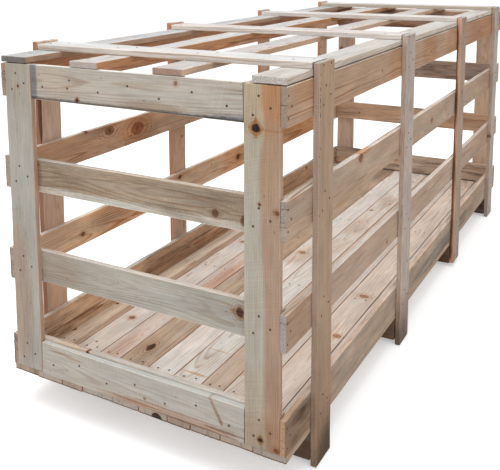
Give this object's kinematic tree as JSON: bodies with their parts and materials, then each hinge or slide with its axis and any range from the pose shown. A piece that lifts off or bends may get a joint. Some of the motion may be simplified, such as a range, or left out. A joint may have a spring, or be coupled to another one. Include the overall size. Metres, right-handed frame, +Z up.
{
  "type": "shipping crate",
  "caption": "Open slatted wooden shipping crate: railed sides, double-layer end panels, boarded floor on bearers, nailed hoops and a lift-off slatted lid.",
  "frame": {"origin": "on the ground, under the middle of the crate", "axes": "+Z up, +Y along the length from the pictured end to the far end, +X to the right seen from that end"},
  "size_m": [0.9788, 2.7408, 1.125],
  "materials": {
    "floor_wood": "rough sawn, unfinished",
    "bearer_wood": "rough sawn, unfinished",
    "rail_wood": "rough sawn, unfinished",
    "upright_wood": "rough sawn, unfinished",
    "end_outer_wood": "rough sawn, unfinished",
    "end_inner_wood": "rough sawn, unfinished",
    "lid_wood": "rough sawn, unfinished",
    "nails": "dull bright wire, oxidised"
  },
  "bodies": {
    "crate_body": {"floor_board_1": "floor_wood", "floor_board_2": "floor_wood", "floor_board_3": "floor_wood", "floor_board_4": "floor_wood", "floor_board_5": "floor_wood", "floor_board_6": "floor_wood", "floor_board_7": "floor_wood", "floor_board_8": "floor_wood", "floor_board_9": "floor_wood", "floor_board_10": "floor_wood", "bearer_1": "bearer_wood", "bearer_2": "bearer_wood", "bearer_3": "bearer_wood", "bearer_4": "bearer_wood", "left_rail_1": "rail_wood", "left_rail_2": "rail_wood", "left_rail_3": "rail_wood", "left_rail_4": "rail_wood", "right_rail_1": "rail_wood", "right_rail_2": "rail_wood", "right_rail_3": "rail_wood", "right_rail_4": "rail_wood", "left_batten_1": "upright_wood", "left_batten_2": "upright_wood", "left_batten_3": "upright_wood", "left_batten_4": "upright_wood", "right_batten_1": "upright_wood", "right_batten_2": "upright_wood", "right_batten_3": "upright_wood", "right_batten_4": "upright_wood", "front_post_left": "end_outer_wood", "front_post_right": "end_outer_wood", "front_fill_top": "end_outer_wood", "front_fill_bottom": "end_outer_wood", "rear_post_left": "end_outer_wood", "rear_post_right": "end_outer_wood", "rear_fill_top": "end_outer_wood", "rear_fill_bottom": "end_outer_wood", "front_board_1": "end_inner_wood", "front_board_2": "end_inner_wood", "front_board_3": "end_inner_wood", "front_board_4": "end_inner_wood", "rear_board_1": "end_inner_wood", "rear_board_2": "end_inner_wood", "rear_board_3": "end_inner_wood", "rear_board_4": "end_inner_wood", "floor_nails": "nails", "left_side_nails": "nails", "right_side_nails": "nails", "front_end_nails": "nails", "rear_end_nails": "nails"},
    "lid": {"lid_slat_1": "lid_wood", "lid_slat_2": "lid_wood", "lid_slat_3": "lid_wood", "lid_slat_4": "lid_wood", "lid_batten_1": "lid_wood", "lid_batten_2": "lid_wood", "lid_batten_3": "lid_wood", "lid_batten_4": "lid_wood", "lid_nails": "nails"}
  },
  "joints": [
    {"name": "lid_lift", "type": "slide", "parent": "crate_body", "child": "lid", "axis": [0, 0, 1], "range_m": [0, 0.3]}
  ]
}
